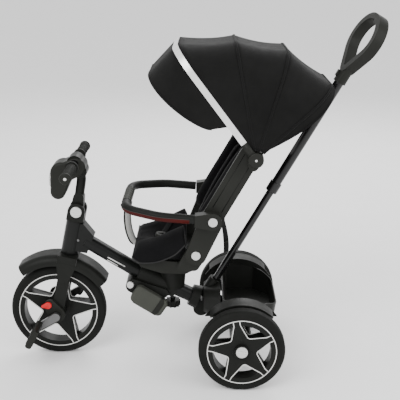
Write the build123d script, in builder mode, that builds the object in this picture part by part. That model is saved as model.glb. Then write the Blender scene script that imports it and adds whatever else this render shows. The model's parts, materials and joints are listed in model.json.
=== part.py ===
from build123d import *
import os
from math import cos, radians, sin, tan

# Children's tricycle. It rolls towards -X, +Y is its right-hand side and +Z is up.
# Every place below is measured from the ground under the front axle. The finished pieces
# are moved forward by ORIGIN_X, so that the origin is on the ground at mid length.

# Driving dimensions, in millimetres and degrees
ORIGIN_X = 407.74
WHEELBASE = 562.0
TRACK = 450.0
FRONT_R = 147.0
REAR_R = 125.0
TYRE_DEPTH = 24.6
HEAD_TILT = 12.4
POLE_TILT = 60.25
HANDLE_TWIST = 12.0
GAP = 0.4

FRONT_AXLE = Vector(0, 0, FRONT_R)
FOLD_PIVOT = Vector(71, 0, 472)
RECLINE_PIVOT = Vector(430, 0, 382)
BAR_PIVOT = Vector(478, 0, 494)
CANOPY_HUB = Vector(595, 0, 673)
POLE_FOOT = Vector(487, 0, 242)
SWIVEL_X = 355.0
CRANK_LENGTH = 72.0
CRANK_ANGLE = 212.0
SHELL_Y = 149.0
BAR_Y = 165.0
ARCH_Y = 170.5
BOW_Y = 179.0
PILOT_AXLE_R = 6.0
RUNNING = 0.05

# Canopy ribs: angle of each arch round the hub axis and its height along that angle
BOW = (126.7, 372.0)
RIB_FRONT = (100.4, 311.0)
RIB_MIDDLE = (73.0, 294.0)
RIB_REAR = (42.5, 281.0)
VISOR_FOOT = Vector(474, 0, 757)
VISOR_ANGLE = 140.4
VISOR_LONG = 224.0
HEM = 42.0

SIDES = {"left": -1, "right": 1}
pieces = {}


def side_plane(y):
    """A plane that looks along Y, with local x along X and local y along Z."""
    return Plane.XZ.offset(-y)


def fan_plane(centre, angle):
    """A plane through the Y line at centre, with local x along Y and local y along the angle."""
    a = radians(angle)
    return Plane(origin=centre, x_dir=(0, 1, 0), z_dir=(sin(a), 0, -cos(a)))


def along(origin, angle, distance, offset=0.0):
    """The point at a distance along an angle in the XZ plane, and an offset to the left of it."""
    a = radians(angle)
    return (
        origin.X + distance * cos(a) - offset * sin(a),
        origin.Z + distance * sin(a) + offset * cos(a),
    )


def steer_x(z):
    """X of the steering axis at height z: it leans back through the front axle."""
    return (z - FRONT_R) * tan(radians(HEAD_TILT))


def steer_plane(z):
    """The plane square to the steering axis where it crosses height z."""
    a = radians(HEAD_TILT)
    return Plane(origin=(steer_x(z), 0, z), x_dir=(cos(a), 0, -sin(a)), z_dir=(sin(a), 0, cos(a)))


def button(centre, side, y_from, height, radius):
    """A domed round cap that stands out sideways."""
    with BuildPart() as part:
        with BuildSketch(side_plane(side * y_from)):
            with Locations((centre.X, centre.Z)):
                Circle(radius)
        extrude(amount=-side * height)
        fillet(part.faces().sort_by(Axis.Y)[-1 if side > 0 else 0].edges(), height * 0.45)
    return part.part


def arch_band(plane, outer, inner, start):
    """An arch-shaped band between two (height, half width, corner radius) outlines."""
    with BuildSketch(plane) as band:
        with BuildLine():
            height, half, corner = outer
            FilletPolyline((-half, start), (-half, height), (half, height), (half, start), radius=corner)
            height, half, corner = inner
            FilletPolyline((half, start), (half, height), (-half, height), (-half, start), radius=corner)
            Line((half, start), (outer[1], start))
            Line((-half, start), (-outer[1], start))
        make_face()
    return band.sketch


# Wheels
ARMS = 5


def wheel_rim(centre, radius, half_width, valley, phase, bore, hub_r, hub_half):
    """Moulded rim: an outer ring, a star of tapered arms and a hub with a bore."""
    ring_out = radius - TYRE_DEPTH
    ring_in = ring_out - 17
    tip = 4.5
    star = []
    for k in range(ARMS):
        angle = phase + 360 / ARMS * k
        star.append(along(centre, angle - 180 / ARMS, valley))
        star.append(along(centre, angle, ring_in + 4, -tip * 2))
        star.append(along(centre, angle, ring_in + 4, tip * 2))
    with BuildPart() as rim:
        with BuildSketch(side_plane(centre.Y)):
            with Locations((centre.X, centre.Z)):
                Circle(ring_out)
                Circle(ring_in, mode=Mode.SUBTRACT)
        extrude(amount=half_width, both=True)
        with BuildSketch(side_plane(centre.Y)):
            Polygon(*star, align=None)
        extrude(amount=half_width * 0.55, both=True)
        with BuildSketch(side_plane(centre.Y)):
            with Locations((centre.X, centre.Z)):
                Circle(hub_r)
        extrude(amount=hub_half, both=True)
        with BuildSketch(side_plane(centre.Y)):
            with Locations((centre.X, centre.Z)):
                Circle(bore)
        extrude(amount=hub_half + 5, both=True, mode=Mode.SUBTRACT)
    return rim.part


def wheel_tyre(centre, radius, half_width):
    """Foam tyre with a rounded tread, seated on the rim's outer ring."""
    with BuildPart() as tyre:
        with BuildSketch(Plane(origin=centre, x_dir=(0, 1, 0), z_dir=(1, 0, 0))) as section:
            with Locations((0, radius - TYRE_DEPTH / 2)):
                Rectangle(2 * half_width, TYRE_DEPTH)
            fillet(section.vertices().group_by(Axis.Y)[-1], half_width * 0.55)
        revolve(axis=Axis(centre, (0, 1, 0)))
    return tyre.part


CRANK_R = 8.0
pieces["front_rim"] = wheel_rim(FRONT_AXLE, FRONT_R, 21, 46, 7, CRANK_R + RUNNING, 24, 24)
pieces["front_tyre"] = wheel_tyre(FRONT_AXLE, FRONT_R, 21)
for name, side in SIDES.items():
    hub = Vector(WHEELBASE, side * TRACK / 2, REAR_R)
    pieces[f"rear_rim_{name}"] = wheel_rim(
        hub, REAR_R, 21, 36, 28, PILOT_AXLE_R + RUNNING, 20, 20
    )
    pieces[f"rear_tyre_{name}"] = wheel_tyre(hub, REAR_R, 20)
    pieces[f"hub_cap_{name}"] = button(hub, side, TRACK / 2 + 20, 5, 17)


# Crank and pedals
PEDAL_AXLE_R = 5.0


def crank_end(side):
    """Centre of a pedal axle: the two cranks point opposite ways."""
    angle = CRANK_ANGLE if side < 0 else CRANK_ANGLE + 180
    x, z = along(FRONT_AXLE, angle, CRANK_LENGTH)
    return Vector(x, 0, z)


with BuildPart() as crank:
    with BuildSketch(side_plane(0)):
        with Locations((0, FRONT_R)):
            Circle(CRANK_R)
    extrude(amount=72, both=True)
    for side in SIDES.values():
        end = crank_end(side)
        with BuildSketch(side_plane(side * 62)):
            with Locations((0, FRONT_R)):
                Circle(13)
            with Locations((end.X, end.Z)):
                Circle(10)
            make_hull()
        extrude(amount=-side * 10)
        with BuildSketch(side_plane(side * 72)):
            with Locations((end.X, end.Z)):
                Circle(PEDAL_AXLE_R)
        extrude(amount=-side * 70)
pieces["crank"] = crank.part

PEDAL_TILT = 62.0
for name, side in SIDES.items():
    end = crank_end(side)
    with BuildPart() as pedal:
        with BuildSketch(side_plane(side * 74)):
            with Locations((end.X, end.Z)):
                Rectangle(62, 20, rotation=PEDAL_TILT)
        extrude(amount=-side * 72)
        fillet(pedal.edges().filter_by(Axis.Y), 8)
        with BuildSketch(side_plane(side * 74)):
            with Locations((end.X, end.Z)):
                Circle(PEDAL_AXLE_R + RUNNING)
        extrude(amount=-side * 68.4, mode=Mode.SUBTRACT)
    pieces[f"pedal_{name}"] = pedal.part


# Fork, mudguard and freewheel parts
STEERER_R = 14.0
FORK_IN = 28.0
FORK_OUT = 46.0


def fork_solid(grow=0.0):
    """Crown and two legs, as one block with the wheel's slot cut out."""
    with BuildPart() as block:
        with BuildSketch(side_plane(0)):
            with Locations((steer_x(318), 318)):
                Rectangle(58 + 2 * grow, 32 + 2 * grow, rotation=-HEAD_TILT)
            with Locations((steer_x(268), 268)):
                Circle(19 + grow)
            make_hull()
        extrude(amount=FORK_OUT + grow, both=True)
        with BuildSketch(side_plane(0)):
            with Locations((steer_x(268), 268)):
                Circle(18 + grow)
            with Locations((0, FRONT_R)):
                Circle(19)
            make_hull()
        extrude(amount=FORK_OUT - 2 + grow, both=True)
        with BuildSketch(side_plane(0)):
            with Locations((10, 200)):
                Rectangle(200, 212)
        extrude(amount=FORK_IN - grow, both=True, mode=Mode.SUBTRACT)
    return block.part


with BuildPart() as fork:
    add(fork_solid())
    with BuildSketch(steer_plane(320)):
        Circle(STEERER_R)
    extrude(amount=132)
    with BuildSketch(side_plane(0)):
        with Locations((0, FRONT_R)):
            Circle(CRANK_R + RUNNING)
    extrude(amount=FORK_OUT + 5, both=True, mode=Mode.SUBTRACT)
pieces["fork"] = fork.part

GUARD_FRONT = 127.0
GUARD_REAR = 34.0
GUARD_R = 188.0
GUARD_HALF = 47.0
with BuildPart() as mudguard:
    guard_section = arch_band(
        fan_plane(FRONT_AXLE, GUARD_FRONT), (GUARD_R, GUARD_HALF, 24), (GUARD_R - 3, GUARD_HALF - 3, 21), 158
    )
    revolve(guard_section, axis=Axis(FRONT_AXLE, (0, 1, 0)), revolution_arc=GUARD_FRONT - GUARD_REAR)
    add(fork_solid(0.3), mode=Mode.SUBTRACT)
    with BuildSketch(steer_plane(300)):
        Circle(29)
    extrude(amount=60, mode=Mode.SUBTRACT)
pieces["front_mudguard"] = mudguard.part

COVER = Vector(-14, 0, 168)
COVER_DEEP = 9.0
with BuildPart() as covers:
    for side in SIDES.values():
        with BuildSketch(side_plane(side * (FORK_OUT - 2 + GAP))):
            with Locations((0, FRONT_R)):
                Circle(26)
            with Locations((COVER.X - 4, COVER.Z + 8)):
                Circle(20)
            make_hull()
            with Locations((0, FRONT_R)):
                Circle(CRANK_R + 1.5, mode=Mode.SUBTRACT)
        extrude(amount=-side * COVER_DEEP)
pieces["freewheel_covers"] = covers.part

LEVER = Vector(-24, 0, 180)
with BuildPart() as lever:
    with BuildSketch(side_plane(2 - FORK_OUT - COVER_DEEP - 2 * GAP)):
        with Locations((LEVER.X, LEVER.Z)):
            Circle(11)
        with Locations((LEVER.X - 17, LEVER.Z - 3)):
            Circle(4)
        make_hull()
    extrude(amount=6.4)
    fillet(lever.faces().sort_by(Axis.Y)[0].edges(), 2.5)
pieces["freewheel_lever"] = lever.part


# Head tube with its lug, beam and what is fixed to it
HEAD_BOTTOM = 337.0
HEAD_LENGTH = 104.0
BEAM_START = Vector(92, 0, 374)
BEAM_BEND = Vector(240, 0, 279)
BEAM_END = Vector(414, 0, 193)
BEAM_HIGH = 42.0
BEAM_WIDE = 46.0

with BuildPart() as head:
    with BuildSketch(steer_plane(HEAD_BOTTOM)):
        Circle(27)
    extrude(amount=HEAD_LENGTH)
    with BuildSketch(side_plane(0)):
        Polygon((50, 430), (90, 432), (120, 392), (97, 338), (52, 346), align=None)
    extrude(amount=21, both=True)
    with BuildSketch(steer_plane(HEAD_BOTTOM - 10)):
        Circle(STEERER_R + RUNNING)
    extrude(amount=HEAD_LENGTH + 20, mode=Mode.SUBTRACT)
pieces["head_tube"] = head.part

with BuildPart() as beam:
    with BuildLine() as beam_path:
        FilletPolyline(BEAM_START, BEAM_BEND, BEAM_END, radius=320)
    with BuildSketch(Plane(beam_path.line @ 0, x_dir=(0, 1, 0), z_dir=beam_path.line % 0)):
        RectangleRounded(BEAM_WIDE, BEAM_HIGH, 18)
    sweep()
    add(head.part, mode=Mode.SUBTRACT)
    with BuildSketch(steer_plane(HEAD_BOTTOM - 10)):
        Circle(28)
    extrude(amount=HEAD_LENGTH + 20, mode=Mode.SUBTRACT)
pieces["main_beam"] = beam.part.solids().sort_by(SortBy.VOLUME)[-1]

SLEEVE_FROM = Vector(252, 0, 272.5)
SLEEVE_ANGLE = -26.3
SLEEVE_LONG = 128.0
with BuildPart() as sleeve:
    sleeve_plane = Plane(
        origin=SLEEVE_FROM,
        x_dir=(0, 1, 0),
        z_dir=(cos(radians(SLEEVE_ANGLE)), 0, sin(radians(SLEEVE_ANGLE))),
    )
    with BuildSketch(sleeve_plane):
        RectangleRounded(BEAM_WIDE + 14, BEAM_HIGH + 14, 20)
    extrude(amount=SLEEVE_LONG)
    with BuildSketch(side_plane(0)):
        with Locations((236, 238)):
            Circle(22)
        with Locations((300, 196)):
            Circle(14)
        with Locations((330, 214)):
            Circle(14)
        make_hull()
    extrude(amount=39, both=True)
    add(beam.part, mode=Mode.SUBTRACT)
pieces["beam_sleeve"] = sleeve.part.solids().sort_by(SortBy.VOLUME)[-1]

PEDESTAL_TOP = 300.0
with BuildPart() as pedestal:
    with BuildSketch(Plane.XY.offset(PEDESTAL_TOP)):
        with Locations((SWIVEL_X, 0)):
            Circle(44)
    with BuildSketch(Plane.XY.offset(225)):
        with Locations((SWIVEL_X + 4, 0)):
            Circle(34)
    loft()
    with BuildSketch(Plane.XY.offset(PEDESTAL_TOP)):
        with Locations((SWIVEL_X, 0)):
            Circle(12)
    extrude(amount=14)
    add(beam.part, mode=Mode.SUBTRACT)
    add(sleeve.part, mode=Mode.SUBTRACT)
pieces["seat_pedestal"] = pedestal.part.solids().sort_by(Axis.Z)[-1]

with BuildPart() as collar:
    collar_plane = Plane(
        origin=(BEAM_END.X - 2, 0, BEAM_END.Z + 1), x_dir=(0, 1, 0), z_dir=(0.93, 0, -0.36)
    )
    with BuildSketch(collar_plane):
        Circle(33)
    with BuildSketch(collar_plane.offset(26)):
        Circle(37)
    loft()
    with BuildSketch(side_plane(0)):
        with Locations((444, 156)):
            Circle(24)
    extrude(amount=22, both=True)
    add(beam.part, mode=Mode.SUBTRACT)

# Rear end: housing, axle and its carrier, basket, mudguards
POLE_R = 11.0
SOCKET_DEPTH = 60.0
pole_direction = Vector(cos(radians(POLE_TILT)), 0, sin(radians(POLE_TILT)))


def pole_plane(distance, twist=0.0):
    """The plane square to the push pole, at a distance up from where it leaves its socket."""
    side_way = Vector(0, 1, 0).rotate(Axis((0, 0, 0), pole_direction), twist)
    return Plane(origin=POLE_FOOT + pole_direction * distance, x_dir=side_way, z_dir=pole_direction)


with BuildPart() as housing:
    with BuildSketch(Plane.YZ.offset(452)):
        with Locations((0, 186)):
            RectangleRounded(84, 76, 22)
    with BuildSketch(Plane.YZ.offset(503)):
        with Locations((0, 196)):
            RectangleRounded(190, 98, 22)
    loft()
    with BuildSketch(Plane.YZ.offset(452)):
        with Locations((0, 172)):
            RectangleRounded(70, 48, 15)
    with BuildSketch(Plane.YZ.offset(530)):
        with Locations((0, 132)):
            RectangleRounded(180, 34, 12)
    loft()
    with BuildSketch(pole_plane(-SOCKET_DEPTH)):
        Circle(21)
    extrude(amount=SOCKET_DEPTH + 6)
    add(collar.part)
    add(beam.part, mode=Mode.SUBTRACT)
    with BuildSketch(pole_plane(-SOCKET_DEPTH + 8)):
        Circle(POLE_R + RUNNING)
    extrude(amount=SOCKET_DEPTH + 40, mode=Mode.SUBTRACT)
pieces["rear_housing"] = housing.part.solids().sort_by(SortBy.VOLUME)[-1]

with BuildPart() as rear_axle:
    with BuildSketch(side_plane(0)):
        with Locations((WHEELBASE, REAR_R)):
            Circle(PILOT_AXLE_R)
    extrude(amount=TRACK / 2 + 19.5, both=True)
pieces["rear_axle"] = rear_axle.part

with BuildPart() as carrier:
    with BuildSketch(side_plane(0)):
        with Locations((WHEELBASE, REAR_R)):
            RectangleRounded(64, 44, 16)
    extrude(amount=TRACK / 2 - 24, both=True)
    add(housing.part, mode=Mode.SUBTRACT)
    with BuildSketch(side_plane(0)):
        with Locations((WHEELBASE, REAR_R)):
            Circle(PILOT_AXLE_R)
    extrude(amount=TRACK / 2, both=True, mode=Mode.SUBTRACT)
pieces["axle_carrier"] = carrier.part.solids().sort_by(SortBy.VOLUME)[-1]

BASKET_WALL = 4.0
BASKET_BOTTOM = 150.0
BASKET_TOP = 246.0


def basket_outline(height, shrink):
    """Plan of the basket: straight across the front and rounded at the back."""
    with BuildSketch(Plane.XY.offset(height)) as outline:
        with Locations((568, 0)):
            RectangleRounded(124 - 2 * shrink, 308 - 2 * shrink, 22 - shrink)
        with Locations((610, 0)):
            RectangleRounded(136 - 2 * shrink, 264 - 2 * shrink, 62 - shrink)
        make_hull()
    return outline.sketch


with BuildPart() as basket:
    loft([basket_outline(BASKET_BOTTOM, 14), basket_outline(BASKET_TOP, 0)])
    floor_plan = basket_outline(BASKET_BOTTOM + BASKET_WALL, 14 + BASKET_WALL)
    loft([floor_plan, basket_outline(BASKET_TOP + 1, BASKET_WALL)], mode=Mode.SUBTRACT)
    with BuildSketch(side_plane(0)):
        Polygon((500, 262), (500, 244), (640, 222), (690, 196), (690, 262), align=None)
    extrude(amount=170, both=True, mode=Mode.SUBTRACT)
    add(housing.part, mode=Mode.SUBTRACT)
pieces["basket"] = basket.part

GUARD_REAR_R = 127.0
with BuildPart() as guards:
    for side in SIDES.values():
        with BuildSketch(side_plane(side * 156)):
            with Locations((WHEELBASE, REAR_R)):
                Circle(GUARD_REAR_R)
                Circle(GUARD_REAR_R - 4, mode=Mode.SUBTRACT)
            with Locations((WHEELBASE, 60)):
                Rectangle(400, 306, mode=Mode.SUBTRACT)
        extrude(amount=-side * 46)
        with BuildSketch(side_plane(side * 152)):
            with Locations((WHEELBASE, REAR_R)):
                Circle(GUARD_REAR_R)
            with Locations((WHEELBASE, 30)):
                Rectangle(400, 330, mode=Mode.SUBTRACT)
        extrude(amount=-side * 4)
    add(basket.part, mode=Mode.SUBTRACT)
pieces["rear_mudguards"] = guards.part

# Knob under the sleeve and the folding foot rests
KNOB = Vector(356, 0, 167.5)
with BuildPart() as knob:
    with BuildSketch(Plane.XY.offset(KNOB.Z - 10)):
        with Locations((KNOB.X, 0)):
            Circle(20)
            with PolarLocations(20, 10):
                Circle(3.2)
    extrude(amount=20)
    with BuildSketch(Plane.XY.offset(KNOB.Z + 10)):
        with Locations((KNOB.X, 0)):
            Circle(7)
    extrude(amount=8.5)
pieces["lock_knob"] = knob.part

REST_ANGLE = -33.0
REST_PIVOT = Vector(236, 0, 212)
BARREL_Y = 57.0
for name, side in SIDES.items():
    with BuildPart() as rest:
        with BuildSketch(side_plane(side * 42)):
            with Locations(along(REST_PIVOT, REST_ANGLE, 50, 14)):
                RectangleRounded(110, 58, 15, rotation=REST_ANGLE)
        extrude(amount=-side * 20)
        fillet(rest.faces().sort_by(Axis.Y)[-1 if side > 0 else 0].edges(), 5)
        barrel_x, barrel_z = along(REST_PIVOT, REST_ANGLE, 10, -12)
        hinge_way = Vector(cos(radians(REST_ANGLE)), 0, sin(radians(REST_ANGLE)))
        with BuildSketch(Plane(origin=(barrel_x, side * BARREL_Y, barrel_z), z_dir=hinge_way)):
            Circle(5)
        extrude(amount=80)
    pieces[f"foot_rest_{name}"] = rest.part

with BuildPart() as rest_caps:
    for side in SIDES.values():
        add(button(Vector(228, 0, 243), side, 39, 6, 11))
pieces["foot_rest_caps"] = rest_caps.part

# Handlebar group
with BuildPart() as stem_base:
    with BuildSketch(steer_plane(439.5)):
        Circle(28)
    extrude(amount=12)
    with BuildSketch(side_plane(0)):
        with Locations((FOLD_PIVOT.X, FOLD_PIVOT.Z)):
            Circle(26)
        with Locations((steer_x(447), 447)):
            Rectangle(52, 8, rotation=-HEAD_TILT)
        make_hull()
    extrude(amount=27, both=True)
    with BuildSketch(side_plane(0)):
        with Locations((FOLD_PIVOT.X, FOLD_PIVOT.Z)):
            Circle(20.6)
        with Locations((FOLD_PIVOT.X, FOLD_PIVOT.Z + 20)):
            Rectangle(90, 60)
        with Locations((FOLD_PIVOT.X - 30, FOLD_PIVOT.Z + 10)):
            Rectangle(60, 61)
    extrude(amount=17, both=True, mode=Mode.SUBTRACT)
    with BuildSketch(side_plane(0)):
        with Locations((FOLD_PIVOT.X, FOLD_PIVOT.Z)):
            Circle(9)
    extrude(amount=25, both=True)
    with BuildSketch(side_plane(-23)):
        with Locations((FOLD_PIVOT.X, FOLD_PIVOT.Z)):
            Circle(17 + GAP)
    extrude(amount=6, mode=Mode.SUBTRACT)
    add(fork.part, mode=Mode.SUBTRACT)
pieces["stem_base"] = stem_base.part

pieces["fold_button"] = button(FOLD_PIVOT, -1, 27 - GAP, 6, 17)

BAR = Vector(73, 0, 622)
with BuildPart() as stem:
    with BuildSketch(side_plane(0)):
        with Locations((FOLD_PIVOT.X, FOLD_PIVOT.Z)):
            Circle(20)
        with Locations((78, 512)):
            Circle(16)
        make_hull()
    extrude(amount=16.6, both=True)
    with BuildLine() as stem_path:
        FilletPolyline((76, 0, 500), (88, 0, 568), (BAR.X + 10, 0, BAR.Z - 8), radius=60)
    with BuildSketch(Plane(stem_path.line @ 0, x_dir=(0, 1, 0), z_dir=stem_path.line % 0)):
        Ellipse(16, 14)
    sweep()
    with BuildSketch(side_plane(0)):
        with Locations((BAR.X, BAR.Z)):
            Circle(23)
        with Locations((88, 596)):
            Circle(20)
        make_hull()
    extrude(amount=26, both=True)
    with BuildSketch(side_plane(0)):
        with Locations((FOLD_PIVOT.X, FOLD_PIVOT.Z)):
            Circle(9 + RUNNING)
    extrude(amount=20, both=True, mode=Mode.SUBTRACT)
    with BuildSketch(side_plane(0)):
        with Locations((BAR.X, BAR.Z)):
            Circle(11)
    extrude(amount=30, both=True, mode=Mode.SUBTRACT)
pieces["stem"] = stem.part

with BuildPart() as handlebar:
    with BuildSketch(side_plane(0)):
        with Locations((BAR.X, BAR.Z)):
            Circle(11)
    extrude(amount=176, both=True)
pieces["handlebar"] = handlebar.part

GRIP_FROM = 72.0
GRIP_TO = 190.0
GRIP_R = 14.5
with BuildPart() as grips:
    for side in SIDES.values():
        with BuildSketch(side_plane(side * GRIP_FROM)):
            with Locations((BAR.X, BAR.Z)):
                Circle(GRIP_R)
        extrude(amount=-side * (GRIP_TO - GRIP_FROM))
        with BuildSketch(side_plane(side * GRIP_FROM)):
            with Locations((BAR.X, BAR.Z)):
                Circle(19)
        extrude(amount=-side * 6)
    add(handlebar.part, mode=Mode.SUBTRACT)
pieces["grips"] = grips.part

with BuildPart() as hood:
    with BuildSketch(side_plane(0)):
        with Locations((40, 594)):
            Circle(30)
        with Locations((77, 610)):
            Circle(28)
        make_hull()
    extrude(amount=32, both=True)
    for end in (0, -1):
        fillet(hood.faces().sort_by(Axis.Y)[end].edges(), 7)

with BuildPart() as pod:
    with BuildSketch(side_plane(0)):
        with Locations((34, 592)):
            Circle(34)
        with Locations((20, 534)):
            Circle(22)
        make_hull()
    extrude(amount=34, both=True)
    for end in (0, -1):
        fillet(pod.faces().sort_by(Axis.Y)[end].edges(), 9)
    add(hood.part)
    add(stem.part, mode=Mode.SUBTRACT)
    with BuildSketch(side_plane(0)):
        with Locations((BAR.X, BAR.Z)):
            Circle(12)
    extrude(amount=40, both=True, mode=Mode.SUBTRACT)
    with BuildSketch(Plane.YZ.offset(-20)):
        with Locations((0, 566)):
            Circle(20)
    extrude(amount=30, mode=Mode.SUBTRACT)
pieces["headlamp_pod"] = pod.part.solids().sort_by(SortBy.VOLUME)[-1]

with BuildPart() as lens:
    with BuildSketch(Plane.YZ.offset(-3)):
        with Locations((0, 566)):
            Circle(19.6)
    extrude(amount=13)
    fillet(lens.faces().sort_by(Axis.X)[0].edges(), 3)
pieces["lamp_lens"] = lens.part

# Seat on its turntable
with BuildPart() as seat_shell:
    with BuildSketch(Plane.XY.offset(PEDESTAL_TOP + 1)):
        with Locations((SWIVEL_X, 0)):
            Circle(48)
    extrude(amount=20)
    with BuildSketch(side_plane(0)):
        Polygon((262, 350), (268, 336), (330, 316), (400, 314), (430, 330), (430, 346), (262, 362), align=None)
    extrude(amount=122, both=True)
    for side in SIDES.values():
        with BuildSketch(side_plane(side * 137.4)):
            with Locations((RECLINE_PIVOT.X, RECLINE_PIVOT.Z)):
                Circle(30)
            with Locations((390, 342)):
                Circle(14)
            with Locations((424, 346)):
                Circle(16)
            make_hull()
        extrude(amount=side * 17)
        with BuildSketch(side_plane(side * 137)):
            with Locations((RECLINE_PIVOT.X, RECLINE_PIVOT.Z)):
                Circle(9)
        extrude(amount=-side * 8)
    with BuildSketch(Plane.XY.offset(PEDESTAL_TOP - 5)):
        with Locations((SWIVEL_X, 0)):
            Circle(12 + RUNNING)
    extrude(amount=20, mode=Mode.SUBTRACT)
pieces["seat_shell"] = seat_shell.part

with BuildPart() as seat_pad:
    with BuildSketch(side_plane(0)):
        Polygon((252, 364), (246, 380), (258, 390), (398, 372), (396, 352), align=None)
    extrude(amount=119, both=True)
    for side in SIDES.values():
        with BuildSketch(side_plane(side * 60)):
            Polygon((250, 372), (262, 390), (300, 402), (350, 425), (396, 450), (403, 446), (398, 372), align=None)
        extrude(amount=-side * 36)
        with BuildSketch(side_plane(side * 96)):
            Polygon(
                (252, 366), (275, 353), (320, 356), (366, 376), (399, 408), (404, 430),
                (392, 432), (350, 408), (300, 386), (254, 378), align=None,
            )
        extrude(amount=-side * 39)
    add(seat_shell.part, mode=Mode.SUBTRACT)
pieces["seat_pad"] = seat_pad.part.solids().sort_by(SortBy.VOLUME)[-1]

# Reclining back
BACK_ANGLE = 60.4
BACK_LENGTH = 348.0


def back_plane(distance):
    """A section plane of the back: local x along Y, local y to the front of the recline line."""
    x, z = along(RECLINE_PIVOT, BACK_ANGLE, distance)
    a = radians(BACK_ANGLE)
    return Plane(origin=(x, 0, z), x_dir=(0, 1, 0), z_dir=(cos(a), 0, sin(a)))


with BuildPart() as back_shell:
    with BuildSketch(back_plane(44)):
        with Locations((0, -9)):
            RectangleRounded(2 * SHELL_Y, 12, 5)
    extrude(amount=BACK_LENGTH - 44)
    for side in SIDES.values():
        with BuildSketch(side_plane(side * 138)):
            with Locations((RECLINE_PIVOT.X, RECLINE_PIVOT.Z)):
                Circle(30)
            with Locations((BAR_PIVOT.X, BAR_PIVOT.Z)):
                Circle(34)
            make_hull()
        extrude(amount=-side * 11)
        with BuildSketch(side_plane(side * 138)):
            with Locations(along(RECLINE_PIVOT, BACK_ANGLE, 226, 16)):
                RectangleRounded(236, 60, 12, rotation=BACK_ANGLE)
        extrude(amount=-side * 11)
        with BuildSketch(side_plane(side * 136)):
            with Locations((RECLINE_PIVOT.X, RECLINE_PIVOT.Z)):
                Circle(9 + RUNNING)
        extrude(amount=-side * 14, mode=Mode.SUBTRACT)
        with BuildSketch(side_plane(side * (SHELL_Y - 3.5))):
            with Locations((RECLINE_PIVOT.X, RECLINE_PIVOT.Z)):
                Circle(13 + GAP)
        extrude(amount=-side * 6, mode=Mode.SUBTRACT)
        with BuildSketch(side_plane(side * SHELL_Y)):
            with Locations((BAR_PIVOT.X, BAR_PIVOT.Z)):
                Circle(9)
        extrude(amount=-side * 26)
pieces["back_shell"] = back_shell.part

with BuildPart() as back_pad:
    with BuildSketch(back_plane(52)):
        with Locations((0, 12)):
            Rectangle(272, 28)
        for side in SIDES.values():
            with Locations((side * 108, 31)):
                RectangleRounded(20, 38, 8)
    extrude(amount=BACK_LENGTH - 60)
    add(back_shell.part, mode=Mode.SUBTRACT)
pieces["back_pad"] = back_pad.part.solids().sort_by(SortBy.VOLUME)[-1]

for name, side in SIDES.items():
    pieces[f"recline_button_{name}"] = button(RECLINE_PIVOT, side, SHELL_Y - GAP, 5, 13)

with BuildPart() as strap:
    with BuildLine() as strap_path:
        Polyline((504, -38, 466), (516, -30, 420), (521, -24, 344))
    with BuildSketch(Plane(strap_path.line @ 0, x_dir=(0, 1, 0), z_dir=strap_path.line % 0)):
        Rectangle(20, 2.5)
    sweep(transition=Transition.RIGHT)
pieces["recline_strap"] = strap.part

with BuildPart() as harness:
    for side in SIDES.values():
        with BuildSketch(back_plane(120)):
            with Locations((side * 45, 29.5)):
                Rectangle(34, 6)
        extrude(amount=170)
pieces["shoulder_straps"] = harness.part

# Safety bar
BAR_LENGTH = 266.0
BAR_TUBE_R = 13.0
BAR_LEAN = 175.5
BAR_FRONT_Y = 118.0


def bar_point(forward, y):
    """A point of the bar's path, forward of its pivot in the bar's own plane."""
    x, z = along(BAR_PIVOT, BAR_LEAN, forward)
    return Vector(x, y, z)


with BuildPart() as bar_clamps:
    for side in SIDES.values():
        with BuildSketch(side_plane(side * (SHELL_Y + GAP))):
            with Locations((BAR_PIVOT.X, BAR_PIVOT.Z)):
                Circle(25)
            with Locations((BAR_PIVOT.X - 36, BAR_PIVOT.Z + 1)):
                Rectangle(30, 34, rotation=-2)
            make_hull()
        extrude(amount=-side * 30)
        with BuildSketch(side_plane(side * SHELL_Y)):
            with Locations((BAR_PIVOT.X, BAR_PIVOT.Z)):
                Circle(9 + RUNNING)
        extrude(amount=-side * 32, mode=Mode.SUBTRACT)
pieces["bar_clamps"] = bar_clamps.part

with BuildPart() as bar_sleeve:
    with BuildLine() as bar_path:
        FilletPolyline(
            bar_point(52, -BAR_Y),
            bar_point(150, -BAR_Y),
            bar_point(BAR_LENGTH - 13, -BAR_FRONT_Y),
            bar_point(BAR_LENGTH - 13, BAR_FRONT_Y),
            bar_point(150, BAR_Y),
            bar_point(52, BAR_Y),
            radius=[120, 60, 60, 120],
        )
    with BuildSketch(Plane(bar_path.line @ 0, x_dir=(0, 1, 0), z_dir=bar_path.line % 0)):
        Circle(BAR_TUBE_R)
    sweep()
pieces["safety_bar"] = bar_sleeve.part

with BuildPart() as bar_caps:
    for side in SIDES.values():
        add(button(BAR_PIVOT, side, SHELL_Y + 30 + GAP, 5, 13))
pieces["bar_caps"] = bar_caps.part

with BuildPart() as crotch_strap:
    with BuildLine() as crotch_path:
        Spline((226, 0, 496), (221, 0, 440), (240, 0, 366), tangents=[(0, 0, -1), (0.5, 0, -1)])
    with BuildSketch(Plane(crotch_path.line @ 0, x_dir=(0.6, 0.8, 0), z_dir=crotch_path.line % 0)):
        Rectangle(30, 3)
    sweep()
pieces["crotch_strap"] = crotch_strap.part


# Canopy
CORNER = 94.0


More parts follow.
